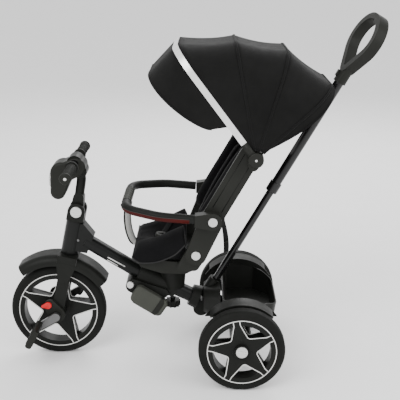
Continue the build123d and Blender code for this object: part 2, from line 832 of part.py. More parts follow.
def rib(angle, height, half, thick, depth, eye_y):
    """A rib: a flat bar bent to an arch, with a flat eye on each end that turns on the hub pin."""
    plane = fan_plane(CANOPY_HUB, angle)
    with BuildPart() as part:
        outer = (height, half, CORNER)
        inner = (height - thick, half - thick, CORNER - thick)
        extrude(arch_band(plane, outer, inner, RIB_FOOT), amount=depth / 2, dir=plane.z_dir, both=True)
        for side in SIDES.values():
            with BuildSketch(side_plane(side * eye_y[0])):
                with Locations((CANOPY_HUB.X, CANOPY_HUB.Z)):
                    Circle(PIN_R + 5)
                with Locations(along(CANOPY_HUB, angle, RIB_FOOT / 2)):
                    Rectangle(RIB_FOOT + 4, 5, rotation=angle)
                with Locations((CANOPY_HUB.X, CANOPY_HUB.Z)):
                    Circle(PIN_R + RUNNING, mode=Mode.SUBTRACT)
            extrude(amount=-side * (eye_y[1] - eye_y[0]))
    return part.part


PIN_R = 6.0
RIB_FOOT = 42.0
BOW_DEPTH = 17.0
pieces["canopy_bow"] = rib(*BOW, BOW_Y, 7, BOW_DEPTH, (BOW_Y - 6, BOW_Y))
pieces["canopy_rib_front"] = rib(*RIB_FRONT, ARCH_Y, 5, 5, (ARCH_Y - 2.2, ARCH_Y))
pieces["canopy_rib_middle"] = rib(*RIB_MIDDLE, ARCH_Y, 5, 5, (ARCH_Y - 4.8, ARCH_Y - 2.6))

with BuildPart() as rear_rib:
    add(rib(*RIB_REAR, ARCH_Y, 5, 5, (ARCH_Y - 8.5, ARCH_Y - 5.2)))
    for side in SIDES.values():
        with BuildSketch(side_plane(side * (ARCH_Y - 8.5))):
            with Locations(along(CANOPY_HUB, RIB_REAR[0], RIB_FOOT - 2)):
                Rectangle(10, 5, rotation=RIB_REAR[0])
        extrude(amount=-side * 8.5)
pieces["canopy_rib_rear"] = rear_rib.part


def panel(first, second):
    """Taut fabric between two ribs, just outside them."""
    bands = []
    for angle, height, shift in (first, second):
        outer = (height + 4.6, ARCH_Y + 4.6, CORNER + 4)
        inner = (height + 1.6, ARCH_Y + 1.6, CORNER + 1)
        bands.append(arch_band(fan_plane(CANOPY_HUB, angle).offset(shift), outer, inner, HEM))
    with BuildPart() as part:
        loft(bands, ruled=True)
    return part.part


pieces["canopy_panel_front"] = panel((BOW[0], BOW[1] - 4, BOW_DEPTH / 2 + 0.5), (*RIB_FRONT, -0.2))
pieces["canopy_panel_middle"] = panel((*RIB_FRONT, 0.2), (*RIB_MIDDLE, -0.2))
pieces["canopy_panel_rear"] = panel((*RIB_MIDDLE, 0.2), (*RIB_REAR, 0))

with BuildPart() as visor:
    root_outer = (BOW[1], BOW_Y - 1, CORNER)
    root_inner = (BOW[1] - 3, BOW_Y - 4, CORNER - 3)
    edge_outer = (VISOR_LONG, BOW_Y - 8, CORNER)
    edge_inner = (VISOR_LONG - 3, BOW_Y - 11, CORNER - 3)
    visor_plane = fan_plane(CANOPY_HUB, BOW[0]).offset(-BOW_DEPTH / 2 - 0.5)
    visor_root = arch_band(visor_plane, root_outer, root_inner, 118)
    visor_edge = arch_band(fan_plane(VISOR_FOOT, VISOR_ANGLE), edge_outer, edge_inner, 0)
    loft([visor_root, visor_edge], ruled=True)
pieces["canopy_visor"] = visor.part

with BuildPart() as hubs:
    for side in SIDES.values():
        with BuildSketch(side_plane(side * (SHELL_Y + GAP))):
            with Locations((CANOPY_HUB.X, CANOPY_HUB.Z)):
                Circle(22)
            with Locations(along(CANOPY_HUB, BACK_ANGLE + 180, 22, 6)):
                Circle(14)
            make_hull()
        extrude(amount=-side * 12)
        with BuildSketch(side_plane(side * SHELL_Y)):
            with Locations((CANOPY_HUB.X, CANOPY_HUB.Z)):
                Circle(PIN_R)
        extrude(amount=-side * 31.5)
pieces["canopy_hubs"] = hubs.part

# Push pole: lower tube, sliding upper tube with its loop handle
POLE_LOWER = 480.0
POLE_CLAMP = 338.0
POLE_NECK = 742.0
UPPER_R = 14.5
with BuildPart() as pole_lower:
    with BuildSketch(pole_plane(-SOCKET_DEPTH + 10)):
        Circle(POLE_R)
    extrude(amount=POLE_LOWER + SOCKET_DEPTH - 10)
pieces["pole_lower"] = pole_lower.part

with BuildPart() as pole_upper:
    with BuildSketch(pole_plane(POLE_CLAMP)):
        Circle(UPPER_R)
    extrude(amount=POLE_NECK - POLE_CLAMP)
    with BuildSketch(pole_plane(POLE_CLAMP)):
        Circle(POLE_R + RUNNING)
    extrude(amount=POLE_NECK - POLE_CLAMP - 4, mode=Mode.SUBTRACT)

with BuildPart() as pole_clamp:
    with BuildSketch(pole_plane(POLE_CLAMP - 6)):
        Circle(18)
    extrude(amount=34)
    fillet(pole_clamp.edges().filter_by(GeomType.CIRCLE), 3)
    with BuildSketch(pole_plane(POLE_CLAMP - 6)):
        Circle(POLE_R + RUNNING)
    extrude(amount=6, mode=Mode.SUBTRACT)
    with BuildSketch(pole_plane(POLE_CLAMP)):
        Circle(UPPER_R)
    extrude(amount=40, mode=Mode.SUBTRACT)
    add(pole_upper.part)
pieces["pole_upper"] = pole_clamp.part

LOOP_LENGTH = 168.0
with BuildPart() as handle:
    with BuildSketch(pole_plane(POLE_NECK - 34)):
        Circle(19)
    with BuildSketch(pole_plane(POLE_NECK + 14, HANDLE_TWIST)):
        RectangleRounded(42, 30, 12)
    loft()
    grip_plane = pole_plane(POLE_NECK + 14, HANDLE_TWIST)
    loop_plane = Plane(origin=grip_plane.origin, x_dir=grip_plane.x_dir, z_dir=-grip_plane.y_dir)
    with BuildSketch(loop_plane):
        with Locations((0, 8)):
            Circle(24)
        with Locations((0, LOOP_LENGTH - 76)):
            Circle(76)
        make_hull()
        offset(amount=-18, kind=Kind.ARC, mode=Mode.SUBTRACT)
    extrude(amount=16, both=True)
    with BuildSketch(pole_plane(POLE_NECK - 40)):
        Circle(UPPER_R)
    extrude(amount=40, mode=Mode.SUBTRACT)
button_plane = pole_plane(POLE_NECK - 12)
button_way = button_plane.y_dir


def button_face(distance):
    """The face of the height button, at a distance in front of the pole's centre line."""
    origin = button_plane.origin + button_way * distance
    return Plane(origin=origin, x_dir=(0, 1, 0), z_dir=button_way)


with BuildPart() as height_button:
    with BuildSketch(button_face(17)):
        RectangleRounded(12, 20, 5)
    extrude(amount=5)
pieces["height_button"] = height_button.part

with BuildPart() as handle_pocketed:
    add(handle.part)
    with BuildSketch(button_face(14.6)):
        RectangleRounded(12 + 2 * GAP, 20 + 2 * GAP, 5)
    extrude(amount=12, mode=Mode.SUBTRACT)
pieces["push_handle"] = handle_pocketed.part

os.makedirs("parts", exist_ok=True)
for name, piece in pieces.items():
    placed = piece.moved(Location((-ORIGIN_X, 0, 0)))
    placed.label = name
    export_step(placed, f"parts/{name}.step")
print(len(pieces), "pieces")
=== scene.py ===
import json
from math import asin, cos, exp, pi, radians, sin, tan

import bmesh
import bpy
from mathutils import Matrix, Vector


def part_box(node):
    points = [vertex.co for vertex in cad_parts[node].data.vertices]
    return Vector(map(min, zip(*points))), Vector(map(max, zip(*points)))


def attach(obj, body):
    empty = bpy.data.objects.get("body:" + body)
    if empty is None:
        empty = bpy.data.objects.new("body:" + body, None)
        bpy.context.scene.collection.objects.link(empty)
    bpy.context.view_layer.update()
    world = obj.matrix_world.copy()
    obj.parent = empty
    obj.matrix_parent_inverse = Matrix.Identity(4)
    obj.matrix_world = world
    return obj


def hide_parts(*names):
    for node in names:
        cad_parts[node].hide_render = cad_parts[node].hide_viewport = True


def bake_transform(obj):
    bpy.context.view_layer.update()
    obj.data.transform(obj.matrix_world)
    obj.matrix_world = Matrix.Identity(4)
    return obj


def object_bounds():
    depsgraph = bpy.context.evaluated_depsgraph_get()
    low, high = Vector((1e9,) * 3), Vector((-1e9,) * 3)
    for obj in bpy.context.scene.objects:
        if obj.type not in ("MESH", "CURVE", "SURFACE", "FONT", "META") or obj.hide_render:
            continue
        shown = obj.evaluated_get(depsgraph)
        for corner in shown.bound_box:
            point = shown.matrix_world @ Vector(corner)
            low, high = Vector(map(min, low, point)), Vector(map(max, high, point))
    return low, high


# Looks of a children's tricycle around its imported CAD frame.
# Lengths here are millimetres from the ground under the front axle, as in the CAD:
# +X to the rear, +Y its right-hand side, +Z up. at() turns them into the frame's metres.

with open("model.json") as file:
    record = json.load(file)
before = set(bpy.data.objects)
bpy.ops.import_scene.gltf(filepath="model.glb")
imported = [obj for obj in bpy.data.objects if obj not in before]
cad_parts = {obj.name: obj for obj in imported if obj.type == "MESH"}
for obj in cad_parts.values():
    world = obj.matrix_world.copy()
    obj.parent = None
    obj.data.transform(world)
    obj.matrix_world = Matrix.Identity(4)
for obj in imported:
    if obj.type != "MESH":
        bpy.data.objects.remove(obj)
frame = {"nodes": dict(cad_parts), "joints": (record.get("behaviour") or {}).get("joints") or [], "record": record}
first_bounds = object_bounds()
JOINTS = {joint["name"]: joint for joint in frame["joints"]}
NODES = frame["nodes"]
MM = 0.001
SIDES = {"left": -1, "right": 1}
ORIGIN_X = -JOINTS["front_wheel_spin"]["pos_m"][0] / MM


def at(x, y, z):
    """A place in millimetres, in the frame's metres."""
    return Vector((x - ORIGIN_X, y, z)) * MM


def place_of(joint):
    """A hinge's place in millimetres from the ground under the front axle."""
    x, y, z = (value / MM for value in JOINTS[joint]["pos_m"])
    return Vector((x + ORIGIN_X, y, z))


def node_mm(node):
    """A CAD node's lowest and highest corners, in the same millimetres."""
    low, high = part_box(node)
    shift = Vector((ORIGIN_X, 0, 0))
    return low / MM + shift, high / MM + shift


def along(origin, angle, distance, offset=0.0):
    """X and Z at a distance along an angle, and an offset to the left of it."""
    a = radians(angle)
    return (
        origin.x + distance * cos(a) - offset * sin(a),
        origin.z + distance * sin(a) + offset * cos(a),
    )


# Finishes: scales are per metre
CLOUD_SCALE, PATCH_SCALE = 9, 40
PATCH_RANGE = 0.06


def surface(name, colour, rough, metal=0.0, coat=0.0, sheen=0.0, grain=600, depth=0.05,
            stretch=(1, 1, 1), spread=0.14, thread=0.0, shine=0.1):
    """A finish: cloudy colour, varied roughness and a fine bump, all in the object's own space.

    grain is the bump's scale per metre, depth its height in millimetres, spread how far the
    colour strays, and thread the width in millimetres of a woven thread."""
    material = bpy.data.materials.new(name)
    material.use_nodes = True
    nodes, links = material.node_tree.nodes, material.node_tree.links
    shader = nodes["Principled BSDF"]
    shader.inputs["Metallic"].default_value = metal
    shader.inputs["Coat Weight"].default_value = coat
    shader.inputs["Coat Roughness"].default_value = 0.12
    shader.inputs["Specular IOR Level"].default_value = shine
    shader.inputs["Sheen Weight"].default_value = sheen
    coords = nodes.new("ShaderNodeTexCoord")
    mapping = nodes.new("ShaderNodeMapping")
    mapping.inputs["Scale"].default_value = stretch
    links.new(coords.outputs["Object"], mapping.inputs["Vector"])

    def noise(scale, detail):
        texture = nodes.new("ShaderNodeTexNoise")
        texture.inputs["Scale"].default_value = scale
        texture.inputs["Detail"].default_value = detail
        links.new(mapping.outputs["Vector"], texture.inputs["Vector"])
        return texture.outputs["Fac"]

    def ranged(value, low, high):
        remap = nodes.new("ShaderNodeMapRange")
        remap.inputs["From Min"].default_value = 0.3
        remap.inputs["From Max"].default_value = 0.7
        remap.inputs["To Min"].default_value = low
        remap.inputs["To Max"].default_value = high
        links.new(value, remap.inputs["Value"])
        return remap.outputs["Result"]

    mix = nodes.new("ShaderNodeMix")
    mix.data_type = "RGBA"
    mix.inputs["A"].default_value = (*[c * (1 - spread) for c in colour], 1)
    mix.inputs["B"].default_value = (*[min(1, c * (1 + spread)) for c in colour], 1)
    links.new(ranged(noise(CLOUD_SCALE, 4), 0, 1), mix.inputs["Factor"])
    links.new(mix.outputs["Result"], shader.inputs["Base Color"])
    patches = ranged(noise(PATCH_SCALE, 3), rough - PATCH_RANGE, rough + PATCH_RANGE)
    links.new(patches, shader.inputs["Roughness"])
    height = noise(grain, 2)
    if thread:
        for direction in "XYZ":
            wave = nodes.new("ShaderNodeTexWave")
            wave.bands_direction = direction
            wave.inputs["Scale"].default_value = 2 * pi / (20 * thread * MM)
            wave.inputs["Distortion"].default_value = 0.6
            links.new(mapping.outputs["Vector"], wave.inputs["Vector"])
            total = nodes.new("ShaderNodeMath")
            total.operation = "ADD"
            links.new(height, total.inputs[0])
            links.new(wave.outputs["Fac"], total.inputs[1])
            height = total.outputs["Value"]
    bump = nodes.new("ShaderNodeBump")
    bump.inputs["Distance"].default_value = depth * MM
    bump.inputs["Strength"].default_value = 0.7
    links.new(height, bump.inputs["Height"])
    links.new(bump.outputs["Normal"], shader.inputs["Normal"])
    return material


LOOKS = {
    "black_frame": dict(colour=(0.006, 0.0064, 0.006), rough=0.34, coat=0.1, grain=900),
    "black_plastic": dict(colour=(0.0085, 0.009, 0.0078), rough=0.42, grain=1100, depth=0.06),
    "charcoal_plastic": dict(colour=(0.014, 0.0145, 0.0125), rough=0.4, grain=1200),
    "gloss_tube": dict(colour=(0.005, 0.005, 0.005), rough=0.16, coat=0.5, depth=0.01),
    "silver_cap": dict(colour=(0.6, 0.6, 0.59), rough=0.3, metal=0.55, spread=0.04,
                       stretch=(1, 1, 8), depth=0.01),
    "silver_bow": dict(colour=(0.8, 0.8, 0.79), rough=0.3, metal=0.6, spread=0.05,
                       stretch=(1, 30, 1), depth=0.01),
    "rim_plastic": dict(colour=(0.008, 0.0085, 0.0075), rough=0.36, grain=900, depth=0.04),
    "tyre_foam": dict(colour=(0.0075, 0.0078, 0.007), rough=0.72, grain=500, depth=0.25),
    "steel": dict(colour=(0.14, 0.14, 0.14), rough=0.34, metal=0.85, stretch=(1, 12, 1),
                  depth=0.01),
    "red_plastic": dict(colour=(0.5, 0.012, 0.015), rough=0.3, coat=0.4, spread=0.08),
    "grip_rubber": dict(colour=(0.012, 0.0125, 0.011), rough=0.6, grain=700, depth=0.1),
    "lens": dict(colour=(0.42, 0.44, 0.42), rough=0.12, coat=0.6, spread=0.06, depth=0.01),
    "grey_tray": dict(colour=(0.045, 0.047, 0.04), rough=0.42, grain=900, spread=0.1),
    "fabric_black": dict(colour=(0.006, 0.006, 0.0058), rough=0.85, sheen=0.04, thread=1.6,
                         shine=0.08, depth=0.12, spread=0.2),
    "fabric_seat": dict(colour=(0.005, 0.005, 0.0054), rough=0.88, sheen=0.02, thread=2.0,
                        shine=0.06, depth=0.16, spread=0.22),
    "webbing": dict(colour=(0.006, 0.006, 0.006), rough=0.7, sheen=0.03, thread=1.4, shine=0.08,
                    depth=0.15),
    "strap_grey": dict(colour=(0.5, 0.5, 0.48), rough=0.7, thread=1.4, depth=0.12, spread=0.06),
    "leather": dict(colour=(0.009, 0.0095, 0.0085), rough=0.5, grain=420, depth=0.22, spread=0.2),
    "piping": dict(colour=(0.02, 0.02, 0.02), rough=0.6, thread=1.2, depth=0.08),
    "outline_grey": dict(colour=(0.62, 0.62, 0.6), rough=0.4, spread=0.05),
    "stitching": dict(colour=(0.045, 0.045, 0.043), rough=0.7, spread=0.1),
    "red_leather": dict(colour=(0.05, 0.005, 0.004), rough=0.5, grain=420, depth=0.22,
                        spread=0.25),
}
FINISHES = {name: surface(name, **look) for name, look in LOOKS.items()}
for entry in frame["record"]["subparts"]:
    node = NODES[entry["node"]]
    node.data.materials.clear()
    node.data.materials.append(FINISHES[entry["material_slot"]])


# Shapes
def solid(name, verts, faces, finish, body=None, smooth=True):
    """A mesh piece from places in millimetres, in its finish and on its body."""
    mesh = bpy.data.meshes.new(name)
    mesh.from_pydata([at(*v) for v in verts], [], faces)
    work = bmesh.new()
    work.from_mesh(mesh)
    bmesh.ops.recalc_face_normals(work, faces=work.faces)
    work.to_mesh(mesh)
    work.free()
    for polygon in mesh.polygons:
        polygon.use_smooth = smooth
    mesh.materials.append(FINISHES[finish])
    piece = bpy.data.objects.new(name, mesh)
    bpy.context.scene.collection.objects.link(piece)
    if body:
        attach(piece, body)
    return piece


def smooth_line(points, closed=False, steps=8):
    """A Catmull-Rom curve through the points."""
    points = [Vector(p) for p in points]
    count = len(points)
    line = []
    for k in range(count if closed else count - 1):
        if closed:
            p0, p1, p2, p3 = (points[(k + j) % count] for j in (-1, 0, 1, 2))
        else:
            p0, p1, p2, p3 = (points[min(max(k + j, 0), count - 1)] for j in (-1, 0, 1, 2))
        for step in range(steps):
            t = step / steps
            line.append(0.5 * (2 * p1 + (p2 - p0) * t + (2 * p0 - 5 * p1 + 4 * p2 - p3) * t * t
                               + (3 * p1 - p0 - 3 * p2 + p3) * t ** 3))
    if not closed:
        line.append(points[-1])
    return line


ARC_STEPS = 8


def rounded(points, radii):
    """A line of straight runs whose corners are arcs of the given radii."""
    line = [points[0]]
    for before, corner, after, radius in zip(points, points[1:], points[2:], radii):
        way_in, way_out = (before - corner).normalized(), (after - corner).normalized()
        half = way_in.angle(way_out) / 2
        reach = radius / tan(half)
        middle = corner + (way_in + way_out).normalized() * radius / sin(half)
        first, last = corner + way_in * reach, corner + way_out * reach
        for k in range(ARC_STEPS + 1):
            arm = (first - middle).lerp(last - middle, k / ARC_STEPS).normalized()
            line.append(middle + arm * radius)
    return line + [points[-1]]


def circle(radius, sides):
    """A round section for a sweep."""
    return [(radius * cos(2 * pi * k / sides), radius * sin(2 * pi * k / sides)) for k in range(sides)]


def band(width, thick):
    """A flat section with rounded edges for a sweep."""
    half, edge = width / 2, thick / 2
    return [(-half, 0), (-half + edge, edge), (half - edge, edge), (half, 0), (half - edge, -edge),
            (-half + edge, -edge)]


def strip(deep, wide):
    """A plain rectangular section for a sweep."""
    return [(-deep / 2, -wide / 2), (deep / 2, -wide / 2), (deep / 2, wide / 2), (-deep / 2, wide / 2)]


def loops_joined(loops, count, round_again=False):
    """Faces between closed loops of count vertices, and from the last to the first if asked."""
    total = loops * count
    faces = []
    for row in range(loops if round_again else loops - 1):
        for k in range(count):
            a, b = row * count + k, row * count + (k + 1) % count
            faces.append((a, b, (b + count) % total, (a + count) % total))
    return faces


def swept(name, points, across, section, finish, body=None, closed=False):
    """A section swept along points: its first axis stays near the direction across."""
    points = [Vector(p) for p in points]
    count, ring = len(points), len(section)
    verts = []
    for k, point in enumerate(points):
        if closed:
            heading = points[(k + 1) % count] - points[k - 1]
        else:
            heading = points[min(k + 1, count - 1)] - points[max(k - 1, 0)]
        heading.normalize()
        side = across(k / (count - 1)) if callable(across) else Vector(across)
        side = (side - heading * side.dot(heading)).normalized()
        up = heading.cross(side)
        verts += [point + side * a + up * b for a, b in section]
    faces = []
    for k in range(count if closed else count - 1):
        for j in range(ring):
            first, second = k * ring, (k + 1) % count * ring
            faces.append((first + j, first + (j + 1) % ring, second + (j + 1) % ring, second + j))
    if not closed:
        faces += [tuple(range(ring)), tuple(range((count - 1) * ring, count * ring))]
    return solid(name, verts, faces, finish, body)


def turned(name, centre, axis, profile, finish, body=None, sides=40):
    """A piece turned about an axis through centre, from (distance along the axis, radius) points."""
    axis = Vector(axis).normalized()
    side = axis.orthogonal().normalized()
    up = axis.cross(side)
    verts = []
    for distance, radius in profile:
        for k in range(sides):
            turn = 2 * pi * k / sides
            verts.append(centre + axis * distance + (side * cos(turn) + up * sin(turn)) * radius)
    faces = loops_joined(len(profile), sides)
    faces += [tuple(range(sides)), tuple(range((len(profile) - 1) * sides, len(profile) * sides))]
    return solid(name, verts, faces, finish, body)


def merged(piece):
    """The piece with vertices in one place joined, and its faces turned outward."""
    work = bmesh.new()
    work.from_mesh(piece.data)
    bmesh.ops.remove_doubles(work, verts=work.verts, dist=0.02 * MM)
    bmesh.ops.dissolve_degenerate(work, edges=work.edges, dist=0.01 * MM)
    bmesh.ops.recalc_face_normals(work, faces=work.faces)
    work.to_mesh(piece.data)
    work.free()
    return piece


def pillow(name, outline, place, face, back, finish, body=None, power=5.0, rings=14, relief=None):
    """A stuffed piece: a closed outline whose two faces swell and meet in a seam round its edge.

    place turns (u, v, w) into a point, face and back are the swell each way in millimetres,
    and relief(u, v) scales the face's swell where channels are sewn."""
    outline = smooth_line([(u, v, 0) for u, v in outline], closed=True)
    centre = sum(outline, Vector()) / len(outline)
    count = len(outline)
    verts, faces = [], []
    for swell, tone in ((face, relief), (-back, None)):
        base = len(verts)
        verts.append(place(centre.x, centre.y, swell * (tone(centre.x, centre.y) if tone else 1)))
        for k in range(1, rings + 1):
            share = asin(k / rings) * 2 / pi * 0.35 + k / rings * 0.65
            height = max(0.0, 1 - share ** power) ** 0.5
            for p in outline:
                spot = centre + (p - centre) * share
                scale = tone(spot.x, spot.y) if tone else 1
                verts.append(place(spot.x, spot.y, swell * height * scale))
        for j in range(count):
            nxt = (j + 1) % count
            faces.append((base, base + 1 + j, base + 1 + nxt))
            for k in range(rings - 1):
                row, far = base + 1 + k * count, base + 1 + (k + 1) * count
                faces.append((row + j, far + j, far + nxt, row + nxt))
    piece = merged(solid(name, verts, faces, finish))
    if body:
        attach(piece, body)
    return piece


def cloth(name, grid, thick, finish):
    """A thin sheet from rows of points, with a front, a back and closed edges."""
    rows, cols = len(grid), len(grid[0])
    normals = []
    for r in range(rows):
        for c in range(cols):
            down = grid[min(r + 1, rows - 1)][c] - grid[max(r - 1, 0)][c]
            over = grid[r][min(c + 1, cols - 1)] - grid[r][max(c - 1, 0)]
            normals.append(down.cross(over).normalized())
    flat = [p for row in grid for p in row]
    front = [p + n * thick / 2 for p, n in zip(flat, normals)]
    back = [p - n * thick / 2 for p, n in zip(flat, normals)]
    return layered(name, front, back, rows, cols, finish)


def layered(name, front, back, rows, cols, finish):
    """A piece between two grids of points that meet, or are closed, along their borders."""
    verts = front + back
    far = rows * cols
    faces = []
    for r in range(rows - 1):
        for c in range(cols - 1):
            a, b = r * cols + c, (r + 1) * cols + c
            faces += [(a, a + 1, b + 1, b), (far + a, far + b, far + b + 1, far + a + 1)]
    border = list(range(cols))
    border += [r * cols + cols - 1 for r in range(1, rows)]
    border += [(rows - 1) * cols + c for c in range(cols - 2, -1, -1)]
    border += [r * cols for r in range(rows - 2, 0, -1)]
    for a, b in zip(border, border[1:] + border[:1]):
        faces.append((a, b, far + b, far + a))
    return merged(solid(name, verts, faces, finish))


# Wheels
ARMS = 5
RIM_DEPTH, TYRE_DEPTH = 17.0, 24.6
RIM_HALF = 21.0
ARM_FACE = 0.55
ARM_HALF = 9.2
VALLEY_R = 9.0
STAR_FOOT = 14.0
LINE = strip(0.9, 2.6)
RING_STEPS = 96


def wheel_trim(name, centre, valley, phase):
    """On both faces of one wheel: a star whose arms rise to the rim, and light outlines along it.

    valley is how far from the axle the arms meet, and phase the angle of the first arm."""
    ring_out = centre.z - TYRE_DEPTH
    ring_in = ring_out - RIM_DEPTH
    for side_name, side in SIDES.items():
        face_y = centre.y + side * (RIM_HALF + 0.2)
        arm_y = centre.y + side * (RIM_HALF * ARM_FACE + 0.6)
        low_y = centre.y + side * RIM_HALF * 0.4
        ring = []
        for k in range(RING_STEPS):
            x, z = along(centre, 360 / RING_STEPS * k, ring_out - 1.6)
            ring.append((x, face_y, z))
        swept(f"{name}_ring_line_{side_name}", ring, (0, 1, 0), LINE, "outline_grey", name, closed=True)

        # Each outline goes in along one arm, round the valley and out along the next arm
        outline = []
        for k in range(ARMS):
            angle = phase + 360 / ARMS * k
            window = []
            for arm, distance, offset, y in (
                (0, ring_out - 2, ARM_HALF, face_y),
                (0, ring_in + 1, ARM_HALF, face_y),
                (0.5, valley, 0, arm_y),
                (1, ring_in + 1, -ARM_HALF, face_y),
                (1, ring_out - 2, -ARM_HALF, face_y),
            ):
                x, z = along(centre, angle + 360 / ARMS * arm, distance, offset)
                window.append(Vector((x, y, z)))
            bend = rounded(window[1:4], (VALLEY_R,))
            outline += bend
            swept(f"{name}_outline_{k}_{side_name}", window[:1] + bend + window[4:], (0, 1, 0), LINE,
                  "outline_grey", name)

        # The star between the outlines: its upper face, its wall, its underside and its inner wall
        rows = [[], [], [], []]
        for point in outline:
            way = Vector((point.x - centre.x, 0, point.z - centre.z)).normalized()
            foot = centre + way * (valley - STAR_FOOT)
            rows[0].append(Vector((foot.x, arm_y, foot.z)))
            rows[1].append(point - Vector((0, side * 0.3, 0)))
            rows[2].append(Vector((point.x, low_y, point.z)))
            rows[3].append(Vector((foot.x, low_y, foot.z)))
        faces = loops_joined(4, len(outline), round_again=True)
        solid(f"{name}_star_{side_name}", sum(rows, []), faces, "rim_plastic", name, smooth=False)


wheel_trim("front_wheel", place_of("front_wheel_spin"), 48, 7)
for name in SIDES:
    wheel_trim(f"rear_wheel_{name}", place_of(f"rear_wheel_{name}_spin"), 42, 28)

# Seat: one stuffed liner with a raised bolster along each side, and piping round its edge
PIPING = circle(2.2, 8)
EDGE_Y, RIDGE_Y, FLAT_Y = 137.0, 74.0, 110.0
SEAT_DEEP = 24.0
NOSE, TAIL = 16.0, 9.0
CHANNEL_X, CHANNEL_Y = 318.0, 46.0
CHANNEL_DEEP, CHANNEL_WIDE = 3.0, 4.0
# X, then the heights of the middle, of the bolster's ridge and of the piped edge
SEAT_LINES = [(246, 382, 384, 371), (258, 389, 393, 360), (275, 389, 399, 354), (320, 384, 414, 358),
              (366, 378, 436, 378), (392, 374, 448, 402), (399, 373, 450, 410)]


def ease(share):
    """A smooth step from 0 to 1."""
    share = min(max(share, 0), 1)
    return share * share * (3 - 2 * share)


def groove(distance, width):
    """Depth, from 0 to 1, of a sewn channel at a distance from its middle."""
    return exp(-((distance / width) ** 2))


def seat_top(station, y):
    """Height of the liner's upper face at a station along it and a distance from its middle."""
    x, middle, ridge, edge = station
    if abs(y) <= RIDGE_Y:
        height = middle + (ridge - middle) * ease(abs(y) / RIDGE_Y)
    else:
        fall = (abs(y) - RIDGE_Y) / (EDGE_Y - RIDGE_Y)
        height = edge + (ridge - edge) * max(0, 1 - fall * fall) ** 0.5
    inside = 1 - ease((abs(y) - 60) / 20)
    for distance in (x - CHANNEL_X, abs(y) - CHANNEL_Y):
        height -= CHANNEL_DEEP * groove(distance, CHANNEL_WIDE) * inside
    return height


stations = smooth_line([Vector(row) for row in SEAT_LINES], steps=7)
seat_front, seat_rear = stations[0][0], stations[-1][0]
SEAT_STEPS = 24
across = [EDGE_Y * sin(pi / 2 * k / SEAT_STEPS) for k in range(-SEAT_STEPS, SEAT_STEPS + 1)]
upper, lower = [], []
for station in stations:
    x, middle, _, edge = station
    close = min(1, (x - seat_front) / NOSE, (seat_rear - x) / TAIL)
    open_share = (1 - (1 - close) ** 2) ** 0.5
    for y in across:
        top = seat_top(station, y)
        rise = ease((abs(y) - FLAT_Y) / (EDGE_Y - FLAT_Y))
        under = min(top, middle - SEAT_DEEP + (edge - middle + SEAT_DEEP) * rise)
        mid = (top + under) / 2
        upper.append(Vector((x, y, mid + (top - mid) * open_share)))
        lower.append(Vector((x, y, mid + (under - mid) * open_share)))
liner = layered("seat_liner", upper, lower, len(stations), len(across), "fabric_seat")
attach(liner, "seat")
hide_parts("seat_pad")
wide = len(across)
pipe = [upper[k * wide] for k in range(len(stations) - 1, -1, -1)] + upper[1:wide - 1]
pipe += [upper[(k + 1) * wide - 1] for k in range(len(stations))]
swept("seat_piping", pipe, (0, 0, 1), PIPING, "piping", "seat")


def on_seat(x, y, above):
    """A point above the liner's upper face."""
    station = min(stations, key=lambda row: abs(row[0] - x))
    return Vector((x, y, seat_top(station, y) + above))


# Back: padded panel, bolsters, piping and harness
recline = place_of("recline")
BACK_ANGLE = 60.4


def on_back(y, up, out):
    """A point up the back from the recline hinge, and out to the front of it."""
    x, z = along(recline, BACK_ANGLE, up, out)
    return Vector((x, y, z))


def back_channels(y, up):
    """Sewn lines across the panel and beside its bolsters."""
    dip = 1.0
    for distance in (up - 150, up - 240, abs(y) - 84):
        dip -= 0.35 * groove(distance, 3.5)
    return max(dip, 0.5)


# Sideways and up for the panel, up and outward for the bolsters
back_outline = [(118, 60), (133, 80), (136, 200), (134, 316), (118, 338), (60, 343), (0, 344),
                (-60, 343), (-118, 338), (-134, 316), (-136, 200), (-133, 80), (-118, 60), (0, 55)]
BACK_SEAM = 8.0
panel = pillow("back_cushion", back_outline, lambda y, up, w: on_back(y, up, BACK_SEAM + w), 17, 9.5,
               "fabric_seat", "back", power=7, relief=back_channels)
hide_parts("back_pad")
pipe = [on_back(p.x, p.y, BACK_SEAM) for p in
        smooth_line([(u, v, 0) for u, v in back_outline], closed=True)]
swept("back_cushion_piping", pipe, (cos(radians(BACK_ANGLE)), 0, sin(radians(BACK_ANGLE))),
      PIPING, "piping", "back", closed=True)
bolster_outline = [(62, 14), (66, 34), (84, 47), (130, 50), (230, 49), (300, 46), (328, 36),
                   (334, 16), (300, 10), (200, 9), (100, 9)]
BOLSTER_Y = 112.0
for name, side in SIDES.items():
    bolster = pillow(f"back_bolster_{name}", bolster_outline,
                     lambda up, out, w, s=side: on_back(s * (BOLSTER_Y + w), up, out), 13, 12,
                     "fabric_seat", "back", power=4)
    line = smooth_line([(up, out, 0) for up, out in bolster_outline[:9]])
    line = [on_back(side * (BOLSTER_Y + 1), p.x, p.y + 0.4) for p in line]
    swept(f"back_bolster_piping_{name}", line, (0, 1, 0), PIPING, "piping", "back")

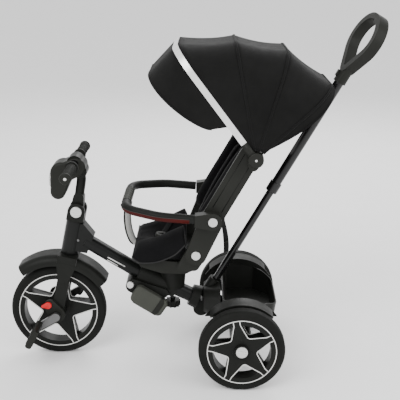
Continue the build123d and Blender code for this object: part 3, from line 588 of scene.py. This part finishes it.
# Harness: padded shoulder straps, waist straps and a buckle on the seat
BUCKLE = on_seat(322, 0, 8)
for name, side in SIDES.items():
    shoulder = smooth_line([on_back(side * 42, 306, 24), on_back(side * 44, 292, 31),
                            on_back(side * 46, 240, 33), on_back(side * 48, 180, 33),
                            on_back(side * 48, 130, 31), on_back(side * 46, 96, 29)])
    strap = swept(f"shoulder_pad_{name}", shoulder, (0, 1, 0), band(36, 7), "fabric_seat", "back")
    if side < 0:
        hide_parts("shoulder_straps")
    webbing = smooth_line([on_back(side * 46, 100, 30), on_back(side * 48, 74, 29.5),
                           on_back(side * 56, 60, 27)])
    swept(f"shoulder_webbing_{name}", webbing, (0, 1, 0), band(22, 2), "webbing", "back")
    waist = smooth_line([on_seat(x, side * y, 2) for x, y in
                         ((324, 12), (332, 26), (342, 40), (352, 52))])
    swept(f"waist_webbing_{name}", waist, (0.8, -0.6 * side, 0), band(20, 2), "webbing", "seat")
buckle_outline = [(22, 0), (18, 17), (0, 21), (-18, 17), (-22, 0), (-18, -17), (0, -21), (18, -17)]
pillow("harness_buckle", buckle_outline,
       lambda u, v, w: BUCKLE + Vector((u * 0.8, v, w - u * 0.09)), 8, 6, "charcoal_plastic", "seat",
       power=6)
turned("harness_buckle_button", BUCKLE + Vector((0, 0, 7)), (0, 0, 1),
       [(0, 9), (2.2, 9), (3, 7.5)], "charcoal_plastic", "seat")

# Straps behind the seat and between the legs
strap_line = smooth_line([(502, -38, 469), (508, -36, 452), (516, -30, 410), (520, -25, 372),
                          (520, -22, 346)])
recline_strap = swept("recline_webbing", strap_line,
                      lambda t: Vector((0.8 * sin(2.4 * t), 1 - 0.6 * t, 0)), band(20, 2.4), "webbing",
                      "back")
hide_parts("recline_strap")
turned("recline_strap_slider", Vector((519, -25.5, 380)), (0, 0, 1), [(-4, 6), (-4, 8), (4, 8), (4, 6)],
       "charcoal_plastic", "back", sides=4)

crotch_line = smooth_line([(226, 0, 494), (222, 0, 470), (221, 0, 440), (225, 0, 405), (235, 0, 376),
                           (244, 0, 366)])
STRAP_WAY = Vector((0.6, 0.8, 0))
crotch = swept("crotch_webbing", crotch_line, STRAP_WAY, band(28, 2.4), "strap_grey", "safety_bar")
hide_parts("crotch_strap")
for tag, side in SIDES.items():
    edge = [p + STRAP_WAY * side * 13.5 for p in crotch_line]
    swept(f"crotch_edge_{tag}", edge, STRAP_WAY, circle(2.3, 8), "webbing", "safety_bar")

# Canopy: each rib's angle and height from the hub, then half widths, corner radius and hem height
HUB = place_of("canopy_fold")
RIBS = {"rear": (42.5, 281.0), "middle": (73.0, 294.0), "front": (100.4, 311.0),
        "bow": (126.7, 367.5)}
ARCH_Y, BOW_Y, CORNER, HEM = 170.5, 179.0, 94.0, 27.0
COLUMNS = 72


def arch(origin, angle, height, half, corner, start):
    """Points at even distances along an arch over the line through origin."""
    straight, bend, top = height - corner - start, corner * pi / 2, 2 * (half - corner)
    total = 2 * straight + 2 * bend + top
    points = []
    for k in range(COLUMNS + 1):
        run = total * k / COLUMNS
        if run < straight:
            y, up = -half, start + run
        elif run < straight + bend:
            turn = (run - straight) / corner
            y, up = -half + corner * (1 - cos(turn)), height - corner + corner * sin(turn)
        elif run < straight + bend + top:
            y, up = -half + corner + run - straight - bend, height
        elif run < straight + 2 * bend + top:
            turn = (run - straight - bend - top) / corner
            y, up = half - corner + corner * sin(turn), height - corner * (1 - cos(turn))
        else:
            y, up = half, height - corner - (run - straight - 2 * bend - top)
        x, z = along(origin, angle, up)
        points.append(Vector((x, y, z)))
    return points


def panel_rows(first, second, rows, sag):
    """Rows of points from one arch to another, with the cloth drawn in a little between them."""
    grid = []
    for k in range(rows + 1):
        share = k / rows
        pull = 4 * share * (1 - share) * sag
        row = []
        for c, (p, q) in enumerate(zip(first, second)):
            point = p.lerp(q, share)
            over_feet = sin(pi * c / COLUMNS)
            inward = Vector((HUB.x, 0, HUB.z)) - point
            row.append(point + inward.normalized() * pull * over_feet)
        grid.append(row)
    return grid


def over_rib(angle, height):
    """The line of the cloth over a rib."""
    return arch(HUB, angle, height + 3, ARCH_Y + 3.1, CORNER + 2.5, HEM)


# For each panel: the ribs ahead and behind, then the bodies behind and ahead
PANELS = {
    "rear": ("middle", "rear", "back", "canopy_middle"),
    "middle": ("front", "middle", "canopy_middle", "canopy_front"),
    "front": ("bow", "front", "canopy_front", "canopy_bow"),
}
CLOTH = 1.0
SAG, EASE = 7.0, 1.04
BOW_TUCK = 1.5
BLEND_REACH = 200.0
for name, (ahead, behind, body_behind, body_ahead) in PANELS.items():
    lines = []
    for tag in (ahead, behind):
        angle, height = RIBS[tag]
        lines.append(over_rib(angle - (BOW_TUCK if tag == "bow" else 0), height))
    grid = panel_rows(*lines, 10, SAG)
    piece = cloth(f"canopy_cloth_{name}", grid, CLOTH, "fabric_black")
    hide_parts(f"canopy_panel_{name}")
    for tag in (behind, ahead):
        x, z = along(HUB, RIBS[tag][0], BLEND_REACH)
    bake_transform(piece)

SEAMS = {"rear": "back", "middle": "canopy_middle", "front": "canopy_front"}
for name, body in SEAMS.items():
    angle, height = RIBS[name]
    line = arch(HUB, angle, height + 4, ARCH_Y + 4.1, CORNER + 3, HEM)
    behind_rib = Vector((sin(radians(angle)), 0, -cos(radians(angle))))
    swept(f"canopy_seam_{name}", line, behind_rib, band(7, 2.2), "fabric_black", body)
    for tag, shift in (("a", -1.8), ("b", 1.8)):
        stitches = []
        for point in line:
            point = point + behind_rib * shift
            stitches.append(point + (point - Vector((HUB.x, 0, HUB.z))).normalized())
        swept(f"canopy_stitch_{name}_{tag}", stitches, behind_rib, circle(0.5, 5), "webbing", body)

# Side flaps below the last rib
angle, height = RIBS["rear"]
upper_line = over_rib(angle, height)
FLAP_COLUMNS, FLAP_DROP = 27, 24.0
flap_way = Vector((sin(radians(angle)), 0, -cos(radians(angle))))
for name, side in SIDES.items():
    line = (upper_line if side < 0 else upper_line[::-1])[2:FLAP_COLUMNS + 3]
    flap = []
    for row in range(4):
        flap.append([p + flap_way * (1.5 + FLAP_DROP * sin(pi * c / FLAP_COLUMNS)) * row / 3
                     for c, p in enumerate(line)])
    piece = cloth(f"canopy_flap_{name}", flap, CLOTH, "fabric_black")
    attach(piece, "back")
    swept(f"canopy_flap_hem_{name}", flap[-1], (0, 1, 0), band(2.4, 5), "webbing", "back")

# The bow's black feet and the hub discs
for name, side in SIDES.items():
    foot = []
    for distance in (12, 34, 56):
        x, z = along(HUB, RIBS["bow"][0], distance)
        foot.append((x, side * (BOW_Y + 2), z))
    swept(f"bow_foot_{name}", foot, (0, 1, 0), strip(3.2, 19), "charcoal_plastic", "canopy_bow")
    turned(f"hub_disc_{name}", Vector((HUB.x, side * (BOW_Y + 0.6), HUB.z)), (0, side, 0),
           [(0, 21), (3.4, 21), (5, 18.5), (5, 6)], "charcoal_plastic", "canopy_bow")
    turned(f"hub_dot_{name}", Vector((HUB.x, side * (BOW_Y + 5.4), HUB.z)), (0, side, 0),
           [(0, 3.6), (1, 3.2)], "silver_cap", "canopy_bow", sides=20)

# Visor: from the bow to a wire edge, drooping a little at its sides
VISOR_FOOT = Vector((474, 0, 757))
VISOR_ANGLE, VISOR_LONG = 140.4, 222.0
VISOR_SHARE, VISOR_DROOP = 0.42, 22.0
root = arch(HUB, RIBS["bow"][0] + 1.6, 370, BOW_Y - 2.5, CORNER, 118)
edge = arch(VISOR_FOOT, VISOR_ANGLE, VISOR_LONG, BOW_Y - 9, CORNER, 0)
droop = Vector((-0.55, 0, -0.83))
bulged = []
for c, p in enumerate(edge):
    share = c / COLUMNS
    side_share = min(min(share, 1 - share) / VISOR_SHARE, 1) ** 0.7
    bulged.append(p + droop * VISOR_DROOP * sin(pi * side_share))
visor_grid = [[p.lerp(q, k / 10) for p, q in zip(root, bulged)] for k in range(11)]
visor = cloth("canopy_visor_cloth", visor_grid, CLOTH, "fabric_black")
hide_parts("canopy_visor")
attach(visor, "canopy_bow")
swept("canopy_visor_edge", bulged, (0, 0, 1), circle(2.6, 8), "webbing", "canopy_bow")

# Lines on the back shell's side plates, and two stripes along the beam
PLATE_Y = 148.95
for name, side in SIDES.items():
    for tag, out in (("front", 2), ("rear", 31)):
        line = [on_back(side * PLATE_Y, up, out) for up in (150, 328)]
        swept(f"back_plate_line_{tag}_{name}", line, (0, 1, 0), strip(0.6, 2.4), "black_plastic", "back")

beam_y = -node_mm("main_beam")[1].y - 0.2
STRIPES = [((160, 326.5), (212, 296), 3.4), ((158, 318), (190, 299), 2.4)]
for k, (start, end, stripe_wide) in enumerate(STRIPES):
    line = [(x, beam_y, z) for x, z in (start, end)]
    swept(f"beam_stripe_{k}", line, (0, 1, 0), strip(0.8, stripe_wide), "outline_grey", "frame")

# Handlebar: ribs, ends and dots of the grips, and the lamp's bezel
GRIP_START, GRIP_END, RIB_PITCH = 92, 190, 10
low, high = node_mm("grips")
bar = Vector(((low.x + high.x) / 2, 0, (low.z + high.z) / 2))
for name, side in SIDES.items():
    for k in range(9):
        centre = bar + Vector((0, side * (GRIP_START + RIB_PITCH * k), 0))
        turned(f"grip_rib_{name}_{k}", centre, (0, 1, 0),
               [(-2.6, 14.4), (-1.6, 15.6), (1.6, 15.6), (2.6, 14.4)], "grip_rubber", "handlebar")
    turned(f"grip_end_{name}", bar + Vector((0, side * GRIP_END, 0)), (0, side, 0),
           [(-4, 16.5), (-1, 17), (1.5, 16), (2.4, 12)], "charcoal_plastic", "handlebar")
    turned(f"grip_dot_{name}", bar + Vector((0, side * (GRIP_END + 2.2), 0)), (0, side, 0),
           [(0, 4.5), (0.8, 4)], "outline_grey", "handlebar")
lens_low, lens_high = node_mm("lamp_lens")
lens_mid = (lens_low + lens_high) / 2
turned("lamp_bezel", Vector((lens_low.x - 1, 0, lens_mid.z)), (1, 0, 0),
       [(0, 17), (-2, 18.4), (-1.5, 21), (4, 22), (4, 17)], "silver_cap", "handlebar")

# Pedal treads
PEDAL_ANGLE, PEDAL_FACE = 62, 10.2
pedal_way = (cos(radians(PEDAL_ANGLE)), 0, sin(radians(PEDAL_ANGLE)))
for name, side in SIDES.items():
    end = place_of(f"pedal_{name}_spin")
    for face in (-1, 1):
        for k, offset in enumerate((-21, -7, 7, 21)):
            x, z = along(end, PEDAL_ANGLE, offset, face * PEDAL_FACE)
            line = [(x, side * 82, z), (x, side * 138, z)]
            swept(f"pedal_tread_{name}_{face + 1}_{k}", line, pedal_way, band(5, 2.2), "grip_rubber",
                  f"pedal_{name}")

# Safety bar: red-brown leather under the near arm, stitching and a laced front
PIVOT = place_of("safety_bar_lift")
BAR_LEAN = 175.5
BAR_SIDE, BAR_FRONT_Y = 165.0, 118.0
BAR_BEND, BAR_FRONT = 150.0, 253.0
LEATHER_R, LEATHER_THICK = 13.9, 1.7
LACE_Y, LACE_PITCH = 58, 10


def on_bar(forward, y):
    """A point of the bar's centre line."""
    x, z = along(PIVOT, BAR_LEAN, forward)
    return Vector((x, y, z))


bar_path = rounded([on_bar(66, -BAR_SIDE), on_bar(BAR_BEND, -BAR_SIDE),
                    on_bar(BAR_FRONT, -BAR_FRONT_Y), on_bar(BAR_FRONT, -66)], (120, 60))
count = len(bar_path)
section = 14
verts, faces = [], []
for k, point in enumerate(bar_path):
    heading = (bar_path[min(k + 1, count - 1)] - bar_path[max(k - 1, 0)]).normalized()
    side_way = heading.cross(Vector((0, 0, 1))).normalized()
    up = side_way.cross(heading)
    for radius in (LEATHER_R, LEATHER_R - LEATHER_THICK):
        for j in range(section + 1):
            turn = radians(-168 + 176 * j / section)
            out = -1 if side_way.y > 0 else 1
            verts.append(point + (side_way * cos(turn) * out + up * sin(turn)) * radius)
ring = 2 * (section + 1)
for k in range(count - 1):
    for j in range(section):
        for base, flip in ((0, 1), (section + 1, -1)):
            a, b = k * ring + base + j, (k + 1) * ring + base + j
            faces.append((a, a + 1, b + 1, b)[::flip])
    for j in (0, section):
        a, b = k * ring + j, (k + 1) * ring + j
        faces.append((a, b, b + section + 1, a + section + 1))
for base in (0, (count - 1) * ring):
    for j in range(section):
        faces.append((base + j, base + j + 1, base + section + 2 + j, base + section + 1 + j))
solid("bar_leather_near", verts, faces, "red_leather", "safety_bar")
for j in (0, section):
    line = [p + (verts[k * ring + j] - p) * 1.02 for k, p in enumerate(bar_path)]
    swept(f"bar_stitch_{j}", line, (0, 0, 1), circle(0.8, 6), "stitching", "safety_bar")
for k in range(13):
    turned(f"bar_lace_{k}", on_bar(BAR_FRONT, LACE_PITCH * k - LACE_Y), (0, 1, 0),
           [(-3.8, 13.0), (-2.6, 14.2), (2.6, 14.2), (3.8, 13.0)],
           "grey_tray" if k % 2 else "charcoal_plastic", "safety_bar", sides=28)

# Dark ends of the foot rests
REST_ANGLE, REST_MIDDLE, REST_HALF = -33.0, 26.0, 29.8
REST_START, REST_END, REST_CORNER = 76.0, 95.8, 15.0
for name, side in SIDES.items():
    pivot = place_of(f"foot_rest_{name}_fold")
    verts = []
    for y, inset in ((41.4, 0), (58.5, 0), (61.6, 1.2), (62.5, 4)):
        corners = []
        for distance, way in ((REST_START, -1), (REST_END - inset, -1), (REST_END - inset, 1),
                              (REST_START, 1)):
            x, z = along(pivot, REST_ANGLE, distance, REST_MIDDLE + way * (REST_HALF - inset))
            corners.append(Vector((x, side * y, z)))
        verts += rounded(corners, (REST_CORNER - inset, REST_CORNER - inset))
    count = len(verts) // 4
    faces = [tuple(range(count)), tuple(range(3 * count, 4 * count))] + loops_joined(4, count)
    solid(f"foot_rest_end_{name}", verts, faces, "charcoal_plastic", f"foot_rest_{name}", smooth=False)

# Screw heads on the left side
SCREWS = [
    ("housing", (470, -44, 196), "frame"),
    ("head", (72, -21, 380), "frame"),
    ("cover_a", (2, -53.4, 133), "steering"),
    ("stem_clamp", (88, -26, 600), "handlebar"),
]
for name, spot, body in SCREWS:
    turned(f"screw_{name}", Vector(spot), (0, -1, 0),
           [(-1, 4), (1, 4), (1.8, 3), (0.8, 1.6), (0.8, 0.4)], "steel", body, sides=20)

# Camera, floor and light
CAMERA_AT = at(458.605, -2285.405, 1235.3)
CAMERA_UP, CAMERA_TURN = radians(17.777), radians(0.452)
camera = bpy.data.objects.new("camera", bpy.data.cameras.new("camera"))
bpy.context.scene.collection.objects.link(camera)
camera.data.sensor_width = 36
camera.data.lens = 72
camera.data.clip_end = 200
camera.location = CAMERA_AT
from_object = Vector((sin(CAMERA_TURN) * cos(CAMERA_UP), -cos(CAMERA_TURN) * cos(CAMERA_UP),
                      sin(CAMERA_UP)))
camera.rotation_euler = from_object.to_track_quat("Z", "Y").to_euler()
bpy.context.scene.camera = camera

FLOOR_HALF = 30.0
floor_mesh = bpy.data.meshes.new("floor")
floor_corners = [(FLOOR_HALF * a, FLOOR_HALF * b, 0) for a, b in ((-1, -1), (1, -1), (1, 1), (-1, 1))]
floor_mesh.from_pydata(floor_corners, [], [(0, 1, 2, 3)])
floor_mesh.materials.append(surface("floor", (0.93, 0.93, 0.93), 0.7, spread=0.01, grain=60, depth=0.01))
floor = bpy.data.objects.new("floor", floor_mesh)
floor.location.z = first_bounds[0].z - 0.0005
bpy.context.scene.collection.objects.link(floor)

world = bpy.data.worlds.new("studio")
world.use_nodes = True
world.node_tree.nodes["Background"].inputs["Color"].default_value = (1, 1, 1, 1)
world.node_tree.nodes["Background"].inputs["Strength"].default_value = 1.3
bpy.context.scene.world = world
# Each light's place and size in metres, and its power in watts
LIGHTS = {
    "key": ((-1.8, -2.6, 3.2), 2.4, 110),
    "fill": ((2.6, -1.8, 1.8), 2.2, 45),
    "rim": ((0.6, 2.8, 2.6), 2.2, 70),
}
LIT_SPOT = Vector((0, 0, 0.45))
for name, (spot, size, power) in LIGHTS.items():
    lamp = bpy.data.objects.new(name, bpy.data.lights.new(name, "AREA"))
    lamp.data.size = size
    lamp.data.energy = power
    lamp.location = spot
    lamp.rotation_euler = (Vector(spot) - LIT_SPOT).to_track_quat("Z", "Y").to_euler()
    bpy.context.scene.collection.objects.link(lamp)
